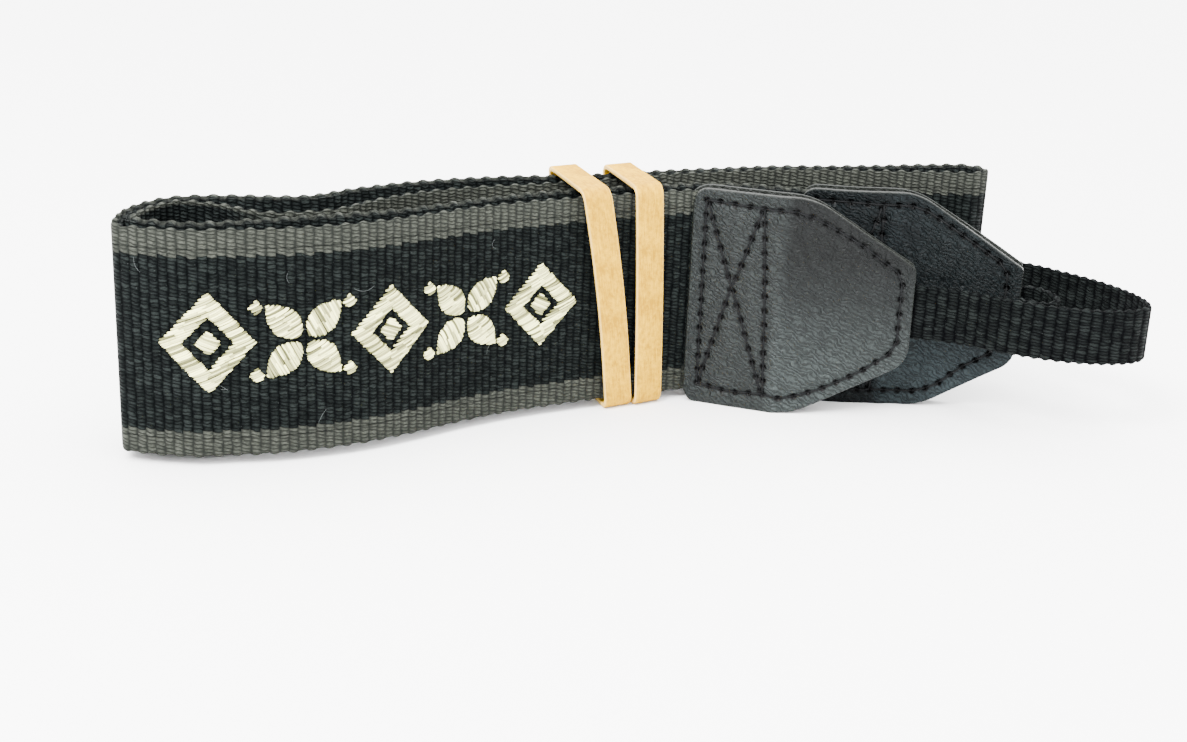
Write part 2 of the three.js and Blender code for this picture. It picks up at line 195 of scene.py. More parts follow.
# Seams as lines of (along the tab, height over a level that is SEAM_DROP under its middle)
FRONT_SEAMS = [
    [(2.9, 36.2), (3.0, 20.0), (3.1, 2.4)],
    [(2.9, 36.2), (13.5, 35.7)],
    [(13.5, 35.7), (14.6, 20.0), (15.4, 2.0)],
    [(3.1, 2.4), (9.0, 1.6), (15.4, 2.0)],
    [(3.4, 35.6), (8.9, 20.1), (15.0, 2.6)],
    [(13.2, 35.1), (8.3, 20.1), (3.5, 3.0)],
    [(13.5, 35.7), (18.5, 35.7), (21.7, 34.8), (24.7, 33.3), (27.4, 31.8), (30.4, 30.2),
     (33.0, 28.3), (37.3, 25.3), (37.9, 24.0), (37.9, 16.9), (37.9, 12.6), (37.0, 10.8),
     (31.3, 6.8), (25.5, 3.9), (21.0, 2.2), (18.0, 1.5), (15.4, 2.0)],
]
REAR_SEAMS = [
    [(2.9, 36.2), (3.0, 20.0), (3.1, 2.0)],
    [(2.9, 36.2), (8.0, 36.2), (14.5, 35.9)],
    [(14.5, 35.9), (14.8, 20.0), (15.0, 1.4)],
    [(3.1, 2.0), (9.0, 1.3), (15.0, 1.4)],
    [(3.4, 35.6), (14.6, 2.0)],
    [(14.1, 35.3), (3.5, 2.6)],
    [(14.5, 35.9), (19.5, 35.9), (23.0, 34.9), (37.4, 26.4), (37.9, 24.6), (37.9, 12.0),
     (37.0, 10.6), (31.0, 6.6), (27.5, 3.2), (24.0, 1.5), (15.0, 1.4)],
]
SEAM_DROP = 18.5
STITCH = 2.62
STITCH_RADIUS = 0.17
STITCH_LEVELS = np.array([-0.75, -0.47, -0.31, -0.27, -0.31, -0.47, -0.75])

# Embroidery: a row of motifs between two places behind the front tab, as shares of
# the row's length, and half sizes of its large diamonds
EMB_REACH = (22.0, 95.3)
EMB_MIDDLE = 19.4
LARGE_DIAMONDS = ((0.103, 7.4, 8.2), (0.503, 6.9, 7.4), (0.903, 6.9, 7.3))
RING_WIDE, RING_TALL = 3.4, 3.8
CORE_HALVES = (1.9, 2.1)
FLOWERS = (0.305, 0.703)
PETAL = (0.9, 8.2, 2.25)
SMALL_DIAMONDS = (0.204, 0.405, 0.602, 0.803)
SMALL_HALVES = (1.15, 1.25)
SMALL_LEVELS = (-5.6, 5.6)
THREAD_SLANT = math.radians(24)
PETAL_SLANT = math.radians(72)
THREAD_PITCH = 0.33
THREAD_RADIUS = 0.19
STITCH_SPAN = 2.4
SHORTEST_THREAD = 0.35

# Lint: hairs on the front run, and the ranges of their place and length
LINT_COUNT = 13
LINT_RADIUS = 0.016
LINT_ALONG = (24.0, 100.0)
LINT_HEIGHT = (5.0, 33.0)
LINT_LENGTH = (1.2, 5.0)

# Bands: how much rounder they turn than the CAD part's, and their own edge
BAND_ROUNDER = 0.4
BAND_EDGE = 0.3

# Colours, as linear red, green, blue and alpha
WEB_DARK = (0.0004, 0.0007, 0.0008, 1.0)
WEB_LIGHT = (0.0088, 0.0112, 0.0106, 1.0)
STRIPE_DARK = (0.0064, 0.0073, 0.0066, 1.0)
STRIPE_LIGHT = (0.044, 0.047, 0.039, 1.0)
LUG_DARK = (0.00003, 0.0001, 0.0003, 1.0)
LUG_LIGHT = (0.0064, 0.0080, 0.0076, 1.0)
SPECK = (0.055, 0.06, 0.058, 1.0)
FRONT_LEATHER = (0.0092, 0.0112, 0.0110, 1.0)
# The rear tab's leather is the front's made darker: painted shade from the front tab and the
# gap between them
REAR_LEATHER_SHADED = (0.0034, 0.0046, 0.0050, 1.0)
SEAM_SHADE = (0.0010, 0.0011, 0.0014, 1.0)
HOLE_SHADE = (0.0003, 0.0003, 0.0004, 1.0)
CUT_LEATHER = (0.0155, 0.017, 0.015, 1.0)
SEWING_THREAD = (0.0022, 0.0025, 0.0028, 1.0)
RUBBER_DARK = (0.33, 0.165, 0.0002, 1.0)
RUBBER_LIGHT = (0.57, 0.315, 0.0006, 1.0)
RUBBER_SPOT = (0.30, 0.155, 0.002, 1.0)
RUBBER_DUST = (0.16, 0.08, 0.01, 1.0)
RUBBER_EDGE_HIGHLIGHT = (0.80, 0.55, 0.18, 1.0)
CREAM_DARK = (0.075, 0.075, 0.026, 1.0)
CREAM_LIGHT = (0.92, 0.91, 0.42, 1.0)
LINT_COLOUR = (0.10, 0.11, 0.11, 1.0)
FLOOR_COLOUR = (0.9, 0.9, 0.9, 1.0)
WHITE = (1.0, 1.0, 1.0, 1.0)

# Light painted into each tab's leather: at its foot, middle and top, and where it is sewn
FRONT_LIT = {"foot": 1.95, "middle": 0.76, "top": 0.28, "sewn": 1.03}
REAR_LIT = {"foot": 4.2, "middle": 0.95, "top": 1.25, "sewn": 1.0}

# Floor, dome, key light (metres and watts) and the camera
FLOOR_HALF = 3.0
DOME_SIDE = 0.7
DOME_TOP = 12.0
KEY_PLACE = (-0.45, -0.2, 0.55)
KEY_AIM = (0, 0, 0.02)
KEY_SIZE = 0.3
KEY_POWER = 14.0
CAMERA_PLACE = (-155.53, -225.16, 104.5)
CAMERA_DOWN = math.radians(18.91)
CAMERA_HEADING = math.radians(32.746)
CAMERA_ROLL = 0.0424
CAMERA_LENS = 51.56


# -------- the line

def run_middles(station):
    """Where the four runs' middles are at one station."""
    along, front, loose12, loose23, loose34 = station
    x = along * BUNDLE_LENGTH
    pitch = WEB_THICKNESS + CLEARANCE
    first = front * BUNDLE_DEPTH + WEB_THICKNESS / 2
    second = first + pitch + loose12 * BUNDLE_DEPTH
    third = second + pitch + loose23 * BUNDLE_DEPTH
    fourth = third + pitch + loose34 * BUNDLE_DEPTH
    return [(x, y) for y in (first, second, third, fourth)]


def tail_middles(station, last_fourth):
    """Where the third and fourth runs' middles are beyond the tabs' start."""
    along, drop, loose34 = station
    x = along * BUNDLE_LENGTH
    fourth = last_fourth[1] - drop * BUNDLE_DEPTH
    third = fourth - WEB_THICKNESS - CLEARANCE - loose34 * BUNDLE_DEPTH
    return (x, third), (x, fourth)


def fold_points(rows, start, end, side):
    """A fold's points from one run's end to another's."""
    span = end[1] - start[1]
    return [(start[0] + out * abs(span) * side, start[1] + across * span)
            for out, across in rows]


def rows_from(rows, start, size):
    """A table's points, from a start and in multiples of a size."""
    return [(start[0] + along * size, start[1] + across * size) for along, across in rows]


def across_at(points, x):
    """How far back a run is at x."""
    for a, b in zip(points, points[1:]):
        if (x - a[0]) * (x - b[0]) <= 0:
            return a[1] + (b[1] - a[1]) * (x - a[0]) / (b[0] - a[0])
    return min(points, key=lambda p: abs(p[0] - x))[1]


def beside_point(points, index, distance):
    """The place at a distance to the left of one of the points."""
    dx = points[index + 1][0] - points[index - 1][0]
    dy = points[index + 1][1] - points[index - 1][1]
    size = math.hypot(dx, dy)
    x, y = points[index]
    return (x - dy / size * distance, y + dx / size * distance)


def catmull_rom(points, steps):
    """Centripetal curve through the points, `steps` samples for each stretch."""
    pts = np.array(points, dtype=float)
    before = 2 * pts[0] - pts[1]
    after = 2 * pts[-1] - pts[-2]
    pts = np.vstack([before, pts, after])
    t = np.arange(steps) / steps
    samples = []
    for i in range(1, len(pts) - 2):
        p0, p1, p2, p3 = pts[i - 1:i + 3]
        d0, d1, d2 = (np.sum((b - a) ** 2) ** 0.25
                      for a, b in ((p0, p1), (p1, p2), (p2, p3)))
        t1 = ((p1 - p0) / d0 - (p2 - p0) / (d0 + d1) + (p2 - p1) / d1) * d1
        t2 = ((p2 - p1) / d1 - (p3 - p1) / (d1 + d2) + (p3 - p2) / d2) * d1
        c2 = -3 * p1 + 3 * p2 - 2 * t1 - t2
        c3 = 2 * p1 - 2 * p2 + t1 + t2
        w = t[:, None]
        samples.append(p1 + t1 * w + c2 * w ** 2 + c3 * w ** 3)
    samples.append(pts[-2][None, :])
    return np.vstack(samples)


class StrapLine:
    """The one line that the whole strap follows, from the front lug strap's end."""

    def __init__(self):
        runs = [run_middles(s) for s in STATIONS]
        first, second, third, fourth = ([r[n] for r in runs] for n in range(4))
        tails = [tail_middles(s, fourth[-1]) for s in TAIL_STATIONS]
        third_tail = [t[0] for t in tails]
        fourth_tail = [t[1] for t in tails]
        front_tab = rows_from(FRONT_TAB_LINE, first[-1], TAB_LENGTH)
        rear_tab = rows_from(REAR_TAB_LINE, second[-1], TAB_LENGTH)
        loop = rows_from(FRONT_LUG_LOOP, front_tab[-1], LUG_LOOP_REACH)
        tab_back = [(x, y + WEB_THICKNESS / 2 + CLEARANCE + TAB_PLY) for x, y in rear_tab]
        third_front = [(x, y - WEB_THICKNESS / 2) for x, y in third_tail]
        tuck = []
        for along, between in FRONT_LUG_TUCK:
            x = along * BUNDLE_LENGTH
            near = across_at(tab_back, x)
            far = across_at(third_front, x)
            tuck.append((x, near + (far - near) * between))
        bend = rows_from(REAR_LUG_BEND, rear_tab[-1], LUG_LOOP_REACH)
        apart = LUG_THICKNESS + CLEARANCE + REAR_LUG_STAND_OFF
        beside = [beside_point(loop, i, apart) for i in REAR_LUG_BESIDE]
        lead = tuck[::-1] + loop[::-1] + front_tab[::-1]
        points = (
            lead + first[::-1] + fold_points(OUTER_FOLD, first[0], fourth[0], -1)
            + fourth + fourth_tail
            + fold_points(RIGHT_FOLD, fourth_tail[-1], third_tail[-1], 1)
            + third_tail[::-1] + third[::-1]
            + fold_points(INNER_FOLD, second[0], third[0], -1)[::-1]
            + second + rear_tab + bend + beside
        )
        steps = LINE_STEPS
        samples = catmull_rom(points, steps)
        gaps = np.hypot(*np.diff(samples, axis=0).T)
        self.lengths = np.concatenate([[0.0], np.cumsum(gaps)])
        self.samples = samples
        tangents = np.gradient(samples, self.lengths, axis=0)
        self.angles = np.unwrap(np.arctan2(tangents[:, 1], tangents[:, 0]))
        self.length = float(self.lengths[-1])
        second_end = len(points) - len(beside) - len(bend) - len(rear_tab) - 1
        self.front_tab_start = float(self.lengths[len(lead) * steps]) - FRONT_TAB_SETBACK
        self.rear_tab_start = float(self.lengths[second_end * steps]) + REAR_TAB_SETBACK
        inner_end = second_end - len(second) + 1
        inner_start = inner_end - len(INNER_FOLD) - POCKET_POINTS
        self.pocket_shade = [float(self.lengths[i * steps]) for i in (inner_start, inner_end)]
        self.first_run = first
        self.fourth_run = fourth + fourth_tail

    def at(self, lengths):
        """Places and sideways directions at lengths along the line."""
        x = np.interp(lengths, self.lengths, self.samples[:, 0])
        y = np.interp(lengths, self.lengths, self.samples[:, 1])
        angle = np.interp(lengths, self.lengths, self.angles)
        return np.stack([x, y], -1), np.stack([-np.sin(angle), np.cos(angle)], -1)


line = StrapLine()
WEB_START = line.front_tab_start - WEB_IN_TAB
WEB_END = line.rear_tab_start + WEB_IN_TAB


def cad_shift():
    """From the line's own plan to the part's frame."""
    count = max(2, math.ceil((WEB_END - WEB_START) / WEB_STEP))
    place, side = line.at(np.linspace(WEB_START, WEB_END, count + 1))
    both = np.vstack([place + side * WEB_THICKNESS / 2, place - side * WEB_THICKNESS / 2])
    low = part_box("strap_webbing")[0]
    return np.array([low.x / MM, low.y / MM]) - both.min(axis=0)


SHIFT = cad_shift()


# -------- mesh helpers

def world_points(plan, height):
    """Plan points and heights in millimetres as vertices in metres."""
    out = np.empty(plan.shape[:-1] + (3,))
    out[..., :2] = (plan + SHIFT) * MM
    out[..., 2] = height * MM
    return out


def mesh_piece(name, vertices, faces, material, attributes=None):
    """A smooth mesh object with a number at each vertex for each attribute."""
    mesh = bpy.data.meshes.new(name)
    mesh.from_pydata(np.asarray(vertices).reshape(-1, 3).tolist(), [], faces)
    for key, values in (attributes or {}).items():
        layer = mesh.attributes.new(key, "FLOAT", "POINT")
        layer.data.foreach_set("value", np.asarray(values, dtype=np.float32).ravel())
    mesh.polygons.foreach_set("use_smooth", [True] * len(mesh.polygons))
    mesh.materials.append(material)
    piece = bpy.data.objects.new(name, mesh)
    bpy.context.collection.objects.link(piece)
    return piece


def swept_faces(columns, rows):
    """Faces of a closed section of `rows` vertices swept over columns, with both ends shut."""
    faces = []
    for i in range(columns - 1):
        a = i * rows
        b = a + rows
        for j in range(rows):
            k = (j + 1) % rows
            faces.append((a + j, b + j, b + k, a + k))
    last = (columns - 1) * rows
    faces.append(tuple(range(rows)))
    faces.append(tuple(last + j for j in reversed(range(rows))))
    return faces


def tube_mesh(paths, normals, radius, sides):
    """Vertices and faces of many short round threads: paths is (n, k, 3)."""
    tangent = np.gradient(paths, axis=1)
    tangent /= np.linalg.norm(tangent, axis=2, keepdims=True)
    across = np.cross(tangent, normals)
    across /= np.linalg.norm(across, axis=2, keepdims=True)
    over = np.cross(across, tangent)
    turn = np.linspace(0, 2 * math.pi, sides, endpoint=False)
    ring = (across[:, :, None, :] * np.cos(turn)[:, None]
            + over[:, :, None, :] * np.sin(turn)[:, None])
    vertices = paths[:, :, None, :] + ring * radius
    n, k = paths.shape[:2]
    index = np.arange(n * k * sides).reshape(n, k, sides)
    a, b = index[:, :-1], index[:, 1:]
    faces = np.stack([a, np.roll(a, -1, axis=2), np.roll(b, -1, axis=2), b], -1)
    caps = index[:, 0, ::-1].tolist() + index[:, -1].tolist()
    return vertices.reshape(-1, 3), faces.reshape(-1, 4).tolist() + caps


class Threads:
    """Short threads that lie on the strap, gathered into one piece."""

    def __init__(self):
        self.paths = []
        self.normals = []

    def add(self, along, out, height):
        """A thread at lengths along the line, `out` from its middle to the left."""
        place, side = line.at(along)
        self.paths.append(world_points(place + side * out[:, None], height))
        facing = side * np.sign(out[len(out) // 2])
        self.normals.append(np.column_stack([facing, np.zeros(len(out))]))

    def piece(self, name, radius, sides, material, attributes=None):
        vertices, faces = tube_mesh(
            np.array(self.paths), np.array(self.normals), radius * MM, sides)
        return mesh_piece(name, vertices, faces, material, attributes)


# -------- materials

class Wire:
    """A value in a node graph, with plain arithmetic."""

    def __init__(self, graph, socket):
        self.graph = graph
        self.socket = socket

    def __add__(self, other):
        return self.graph.math("ADD", self, other)

    def __sub__(self, other):
        return self.graph.math("SUBTRACT", self, other)

    def __rsub__(self, other):
        return self.graph.math("SUBTRACT", other, self)

    def __mul__(self, other):
        return self.graph.math("MULTIPLY", self, other)

    def __truediv__(self, other):
        return self.graph.math("DIVIDE", self, other)

    def __pow__(self, other):
        return self.graph.math("POWER", self, other)

    def __abs__(self):
        return self.graph.math("ABSOLUTE", self)

    def clamped(self):
        """Kept from 0 to 1, for a value that comes from arithmetic."""
        self.socket.node.use_clamp = True
        return self

    def remap(self, low, high, to_low=0.0, to_high=1.0):
        inputs = dict(enumerate((self, low, high, to_low, to_high)))
        return self.graph.node("ShaderNodeMapRange", inputs)


class Graph:
    """A material's node graph in short form."""

    def __init__(self, name):
        self.material = bpy.data.materials.new(name)
        self.material.use_nodes = True
        self.tree = self.material.node_tree
        self.tree.nodes.clear()
        output = self.tree.nodes.new("ShaderNodeOutputMaterial")
        self.shader = self.tree.nodes.new("ShaderNodeBsdfPrincipled")
        self.tree.links.new(self.shader.outputs[0], output.inputs["Surface"])

    def put(self, socket, value):
        if isinstance(value, Wire):
            self.tree.links.new(value.socket, socket)
        else:
            socket.default_value = value

    def node(self, kind, inputs, output=0, **settings):
        """The output of a new node whose inputs are given by name or by place."""
        node = self.tree.nodes.new(kind)
        for key, value in settings.items():
            setattr(node, key, value)
        for key, value in inputs.items():
            self.put(node.inputs[key], value)
        return Wire(self, node.outputs[output])

    def math(self, operation, *values):
        return self.node("ShaderNodeMath", dict(enumerate(values)), operation=operation)

    def attribute(self, name):
        return self.node("ShaderNodeAttribute", {}, "Fac", attribute_name=name)

    def vector(self, *values):
        return self.node("ShaderNodeCombineXYZ", dict(enumerate(values)))

    def noise(self, vector, scale, detail, roughness):
        inputs = {"Vector": vector, "Scale": scale, "Detail": detail, "Roughness": roughness}
        return self.node("ShaderNodeTexNoise", inputs, "Fac")

    def cells(self, vector):
        """Distance to the nearest border between scattered cells."""
        return self.node("ShaderNodeTexVoronoi", {"Vector": vector, "Scale": 1.0}, "Distance",
                         feature="DISTANCE_TO_EDGE")

    def random(self, *values):
        return self.node("ShaderNodeTexWhiteNoise", {"Vector": self.vector(*values)}, "Value",
                         noise_dimensions="3D")

    def mix(self, factor, a, b):
        return self.node("ShaderNodeMix", {0: factor, 6: a, 7: b}, 2, data_type="RGBA")

    def surface(self, colour, roughness, specular, height=None, distance=0.0, strength=1.0):
        """The finished material, with a bump where a height is given."""
        self.put(self.shader.inputs["Base Color"], colour)
        self.put(self.shader.inputs["Roughness"], roughness)
        self.put(self.shader.inputs["Specular IOR Level"], specular)
        if height is not None:
            inputs = {"Strength": strength, "Distance": distance, "Height": height}
            self.put(self.shader.inputs["Normal"], self.node("ShaderNodeBump", inputs))
        return self.material


def scaled(colour, factor):
    """A colour made darker or lighter."""
    return (*(factor * c for c in colour[:3]), 1.0)


def webbing_material(name, spec, dark, light, stripe_dark=None, stripe_light=None):
    """Yarn floats laid like bricks over the ribs, each with its own tone, painted lighter on
    its crown and darker in the gaps: painted highlight and painted shade.
    """
    g = Graph(name)
    along = g.attribute("along")
    across = g.attribute("across")
    outer = g.attribute("outer")
    face = g.math("SIGN", outer)
    place = g.vector(along, across, face)

    # Which rib and which yarn a point is on, and where on them
    drift = g.noise(g.vector(along * 0.5, across * 0.5, face), 1.0, 2.0, 0.6) - 0.5
    rib = along / spec["rib"] + 0.5
    rib_number = g.math("FLOOR", rib)
    in_rib = rib - rib_number - 0.5
    shift = g.math("FLOORED_MODULO", rib_number, 2.0) * 0.5 + face * 0.25
    lean = in_rib * face * -0.3
    yarn = across / spec["yarn"] + (shift + lean) + drift * 1.6
    yarn_number = g.math("FLOOR", yarn)
    in_yarn = yarn - yarn_number - 0.5

    # Each float's form, and a tone of its own: partly random, partly a painted highlight on its
    # crown, painted shade in the gaps and painted glints
    chance = g.random(rib_number, yarn_number, face)
    slip = (g.random(yarn_number, rib_number, face + 7.0) - 0.5) * 0.18
    rib_share = (abs(in_rib + slip) * 1.85) ** 2.6
    yarn_share = (abs(in_yarn) * 2.0) ** 2.0
    round_rib = (1.0 - rib_share).clamped()
    bulge = round_rib * g.math("SQRT", (1.0 - yarn_share).clamped())
    fibre = g.noise(g.vector(along * 1.6, across * 11.0, face), 1.0, 3.0, 0.65)
    mottle = g.noise(place, 0.3, 3.0, 0.65)
    glint = chance ** 2.2
    height = bulge + fibre * 0.3 + chance * 0.15
    # Painted highlight on each float's crown and painted shade in the gaps, with painted glints
    painted_float_light = bulge ** 1.6 * fibre.remap(0.38, 0.62, 0.1, 1.45)
    painted_float_light = painted_float_light * mottle.remap(0.3, 0.7, 0.7, 1.25)
    colour = g.mix((painted_float_light * glint.remap(0.0, 1.0, 0.5, 1.7)).clamped(), dark, light)

    if stripe_dark:
        # The stripe's floats take the same painted highlight and shade, more even
        even = (painted_float_light * glint.remap(0.0, 1.0, 0.72, 1.2)).clamped()
        row = abs((yarn_number + 0.5 - shift) * spec["yarn"])
        reach = face.remap(-1.0, 1.0, spec["edge"], STRIPE)
        in_stripe = g.math("LESS_THAN", spec["width"] / 2 - row, reach)
        inside = spec["width"] / 2 - abs(across)
        grey = g.mix(even * 0.9 + 0.1, stripe_dark, stripe_light)
        from_line = abs(inside - (STRIPE - STRIPE_LINE))
        in_line = (from_line.remap(0.06, 0.17, 0.55, 0.0) * face).clamped()
        grey = g.mix(in_line, grey, dark)
        # Painted shade: the grey is a little darker over the rims, whose tops catch the light
        # from above
        grey = g.mix(g.attribute("edge") * 0.12, grey, stripe_dark)
        grey = g.mix(outer.remap(-0.3, -0.02, 0.93, 0.0), grey, colour)
        # Painted shade inside the left fold: the grey stripe gives way to the dark weave there
        grey = g.mix(g.attribute("pocket_shade") * inside.remap(0.7, 1.2), grey, colour)
        colour = g.mix(in_stripe, colour, grey)

    # Painted shade in the hollows between the rims' lobes
    colour = g.mix(g.attribute("hollow") * 0.9, colour, dark)
    speck = g.noise(place, 4.0, 1.0, 0.5).remap(0.73, 0.79, 0.0, 0.5)
    colour = g.mix(speck, colour, SPECK)
    dull = (bulge * glint.remap(0.0, 1.0, 0.6, 1.0)).remap(0.2, 1.0, 0.9, 0.45)
    return g.surface(colour, dull, 0.025, height, 0.0003)


def leather_material(name, colour, roughness, specular, lit):
    """Grained leather, along a slant of tab_u and tab_v, the tab's length and height."""
    g = Graph(name)
    u = g.attribute("tab_u")
    v = g.attribute("tab_v")

    # A fine wavy ripple across the slant, broken up by small cells
    wander = g.noise(g.vector(u, v), 0.45, 3.0, 0.6)
    level = u * math.cos(GRAIN_LEAN) - v * math.sin(GRAIN_LEAN)
    slant = u * math.sin(GRAIN_LEAN) + v * math.cos(GRAIN_LEAN) + wander * 2.6
    jitter = g.noise(g.vector(level * 0.75, slant * 1.7), 1.0, 2.0, 0.6)
    ripple = g.math("SINE", slant * (2 * math.pi / GRAIN_PITCH) + jitter * 9.0) * 0.5 + 0.5
    cells = g.cells(g.vector(level * 0.9 + jitter, slant * 1.7 + jitter))
    pebble = cells.remap(0.0, 0.3) ** 0.6
    grain = (pebble * 0.4 + 0.6) * (ripple * 0.75 + 0.25)

    # Tone: grain, patches, painted light that changes softly over the tab, and a painted
    # highlight beside its ridge
    patch = g.noise(g.vector(u, v), 0.14, 2.0, 0.5)
    free = u.remap(WEB_IN_TAB, WEB_IN_TAB + RIDGE_FADE)
    low = v.remap(-11.0, 1.0, lit["foot"], lit["middle"])
    high = v.remap(0.0, 9.0, 1.0, lit["top"])
    light = free * (low * high - lit["sewn"]) + lit["sewn"]
    # Painted highlight in a band just past the ridge
    ridge = abs(u - (WEB_IN_TAB + RIDGE_LIT_AT)).remap(0.3, 1.6, 1.35, 1.0)
    tone = (grain * 1.3 + 0.15) * patch.remap(0.3, 0.7, 0.95, 1.05) * light * ridge
    base = g.mix(tone * 0.24, scaled(colour, 0.12), scaled(colour, 4.0))

    # Painted shade along the seams and in the needle holes, and the pale raw edge
    seam = g.attribute("from_seam")
    groove = seam.remap(0.2, 0.5, 0.42, 0.0) + seam.remap(0.3, 1.5, 0.12, 0.0)
    base = g.mix(groove, base, SEAM_SHADE)
    hole = g.attribute("from_hole").remap(0.5, 0.74, 1.0, 0.0)
    base = g.mix(hole, base, HOLE_SHADE)
    base = g.mix(g.attribute("raw_edge") * 0.75, base, CUT_LEATHER)
    return g.surface(base, roughness, specular, pebble * 0.6 + ripple, 0.00015)


def rubber_material():
    """Dusty tan rubber with faint streaks along its length and a painted highlight along both
    edges.
    """
    g = Graph("rubber")
    run = g.attribute("band_run")
    across = g.attribute("band_across")
    place = g.vector(run, across)
    streak = g.noise(g.vector(run * 0.35, across * 3.5), 1.0, 3.0, 0.6)
    patch = g.noise(place, 0.22, 3.0, 0.6)
    fine = g.noise(place, 5.0, 3.0, 0.7)
    blotch = g.noise(place, 1.1, 3.0, 0.65)
    tone = blotch * 0.4 + (streak * 0.3 + patch * 0.3)
    base = g.mix(tone.remap(0.42, 0.58), RUBBER_DARK, RUBBER_LIGHT)
    base = g.mix(fine.remap(0.5, 0.68) * 0.35, base, RUBBER_SPOT)
    dust = g.noise(place, 2.6, 1.0, 0.5).remap(0.67, 0.73)
    base = g.mix(dust * 0.35, base, RUBBER_DUST)
    # Painted highlight along both edges of the band
    rim = abs(across).remap(BAND_WIDTH * 0.44, BAND_WIDTH * 0.5)
    base = g.mix(rim * 0.55, base, RUBBER_EDGE_HIGHLIGHT)
    return g.surface(base, 0.6, 0.05, fine + streak, 0.00012, 0.6)


def thread_material():
    """Cream thread whose tone changes from stitch to stitch."""
    g = Graph("embroidery")
    return g.surface(g.mix(g.attribute("tone"), CREAM_DARK, CREAM_LIGHT), 0.5, 0.2)


def plain_material(name, colour, roughness):
    return Graph(name).surface(colour, roughness, 0.1)


# -------- webbing

def webbing_section(spec):
    """A closed section: share of half the thickness to the side, and height."""
    half = spec["width"] / 2 - spec["edge"]
    heights = np.linspace(-half, half, spec["face_rows"])
    turn = np.linspace(0, math.pi, EDGE_ROWS + 2)[1:-1]
    flat = np.ones(spec["face_rows"])
    round_top = half + spec["edge"] * np.sin(turn)
    side = np.concatenate([flat, np.cos(turn), -flat, -np.cos(turn)])
    return side, np.concatenate([heights, round_top, heights[::-1], -round_top])


def webbing_piece(name, start, end, middle, spec, material):
    """A ribbed strip from one length along the line to another."""
    count = int(round((end - start) / spec["rib"] * RIB_STEPS))
    s = np.linspace(start, end, count + 1)
    side_share, height = webbing_section(spec)
    rib = 1 - (np.abs((s / spec["rib"] + 0.5) % 1.0 - 0.5) * 2) ** 2.5
    offset = side_share * (spec["thickness"] / 2 - spec["relief"] * (1 - rib[:, None]))

    # Rims of looped yarn: lobes, a hollow between two, and a slope to the reverse
    rim = np.clip((np.abs(height) - (spec["width"] / 2 - spec["edge"])) / spec["edge"], 0, 1)
    turn = s / spec["scallop"]
    lobe = np.sqrt(np.maximum(np.cos(2 * math.pi * turn) + 0.3, 0) / 1.3)
    lean = (turn % 1.0 - 0.5)[:, None] - 0.22 * side_share
    hollow = np.clip(1.25 - np.hypot(lean / 0.34, side_share / 0.62), 0, 1) * rim
    reverse = (1 - side_share) / 2 * np.sqrt(1 - side_share ** 2)
    rise = (-spec["scallop_depth"] * (1 - lobe)[:, None] * rim
            - spec["hollow"] * hollow - spec["slope"] * reverse)

    place, side = line.at(s)
    plan = place[:, None, :] + side[:, None, :] * offset[..., None]
    vertices = world_points(plan, height + np.sign(height) * rise + middle)
    # How far the painted shade inside the left fold reaches, fading at both ends
    fold_start, fold_end = line.pocket_shade
    pocket_shade = (np.clip((s - fold_start) / POCKET_FADE, 0, 1)
              * np.clip((fold_end + POCKET_FADE - s) / POCKET_FADE, 0, 1))
    rows = len(height)
    attributes = {
        "along": np.repeat(s, rows),
        "across": np.tile(height, len(s)),
        "edge": np.tile(rim, len(s)),
        "outer": np.tile(side_share, len(s)),
        "hollow": hollow,
        "pocket_shade": np.repeat(pocket_shade, rows),
    }
    return mesh_piece(name, vertices, swept_faces(len(s), rows), material, attributes)


webbing_look = webbing_material(
    "webbing", WIDE, WEB_DARK, WEB_LIGHT, STRIPE_DARK, STRIPE_LIGHT)
lug_look = webbing_material("lug_webbing", NARROW, LUG_DARK, LUG_LIGHT)

FRONT_TIP = line.front_tab_start - TAB_LENGTH
REAR_TIP = line.rear_tab_start + TAB_LENGTH
for name, node, slot, start, end, middle, spec, look in (
    ("webbing_strip", "strap_webbing", "webbing",
     WEB_START, WEB_END, WEB_MIDDLE, WIDE, webbing_look),
    ("front_lug_weave", "front_lug_strap", "lug_webbing",
     0.0, FRONT_TIP + LUG_IN_TAB, LUG_MIDDLE, NARROW, lug_look),
    ("rear_lug_weave", "rear_lug_strap", "lug_webbing",
     REAR_TIP - LUG_IN_TAB, line.length, LUG_MIDDLE, NARROW, lug_look),
):
    strip = webbing_piece(name, start, end, middle, spec, look)
    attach(strip, "root")
    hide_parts(node)


# -------- leather tabs

leather_look = {
    "front": leather_material("leather", FRONT_LEATHER, 0.42, 0.09, FRONT_LIT),
    # Darker leather for the rear tab: painted shade
    "rear": leather_material("rear_leather_shaded", REAR_LEATHER_SHADED, 0.34, 0.05, REAR_LIT),
}
stitch_look = plain_material("stitching", SEWING_THREAD, 0.7)


def rounded_corner(before, corner, after, radius, steps):
    """Points of the arc that rounds a corner between its two neighbours."""
    before, corner, after = (np.array(p, dtype=float) for p in (before, corner, after))
    inward = (before - corner) / np.linalg.norm(before - corner)
    outward = (after - corner) / np.linalg.norm(after - corner)
    half = math.acos(np.clip(inward @ outward, -1, 1)) / 2
    start = corner + inward * radius / math.tan(half)
    end = corner + outward * radius / math.tan(half)
    towards = (inward + outward) / np.linalg.norm(inward + outward)
    centre = corner + towards * radius / math.sin(half)
    first = math.atan2(*(start - centre)[::-1])
    sweep = math.atan2(*(end - centre)[::-1]) - first
    turn = math.atan2(math.sin(sweep), math.cos(sweep))
    angles = first + turn * np.linspace(0, 1, steps + 1)
    return centre + radius * np.stack([np.cos(angles), np.sin(angles)], -1)


